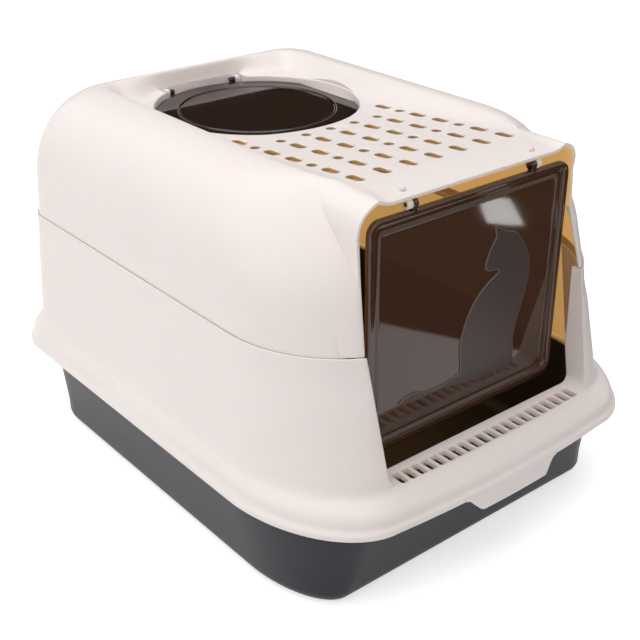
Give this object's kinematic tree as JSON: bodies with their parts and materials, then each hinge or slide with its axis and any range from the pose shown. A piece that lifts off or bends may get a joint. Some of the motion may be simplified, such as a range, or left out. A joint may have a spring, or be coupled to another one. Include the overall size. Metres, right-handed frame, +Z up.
{
  "type": "covered cat litter box",
  "caption": "Covered cat litter box: open pan, lift-off shell with a slotted sill and skirt, lift-off vented hood, swinging see-through flap door and a round hinged lid in the roof.",
  "frame": {"origin": "on the ground under the middle of the box, at the bottom centre of its bounding box", "axes": "+Z up, -Y out of the front with the door, +X to the right of a person who looks along +Y at the front"},
  "size_m": [0.4232, 0.537, 0.357],
  "materials": {
    "cream_plastic": "fine satin moulded",
    "charcoal_plastic": "satin moulded",
    "smoked_plastic": "polished, tinted see-through"
  },
  "bodies": {
    "pan": {"litter_tray": "charcoal_plastic"},
    "shell": {"lower_shell": "cream_plastic"},
    "hood": {"upper_hood": "cream_plastic", "door_clip_left": "cream_plastic", "door_clip_right": "cream_plastic", "lid_clip_left": "cream_plastic", "lid_clip_right": "cream_plastic"},
    "door": {"flap_door": "smoked_plastic"},
    "lid": {"top_lid": "smoked_plastic"}
  },
  "joints": [
    {"name": "shell_lift", "type": "slide", "parent": "pan", "child": "shell", "axis": [0, 0, 1], "range_m": [0, 0.12]},
    {"name": "hood_lift", "type": "slide", "parent": "shell", "child": "hood", "axis": [0, 0, 1], "range_m": [0, 0.15]},
    {"name": "door_swing", "type": "hinge", "parent": "hood", "child": "door", "pos_m": [0, -0.1962, 0.342], "axis": [1, 0, 0], "range_deg": [-70, 70]},
    {"name": "lid_open", "type": "hinge", "parent": "hood", "child": "lid", "pos_m": [0, 0.19592, 0.3375], "axis": [-1, 0, 0], "range_deg": [0, 100]}
  ]
}
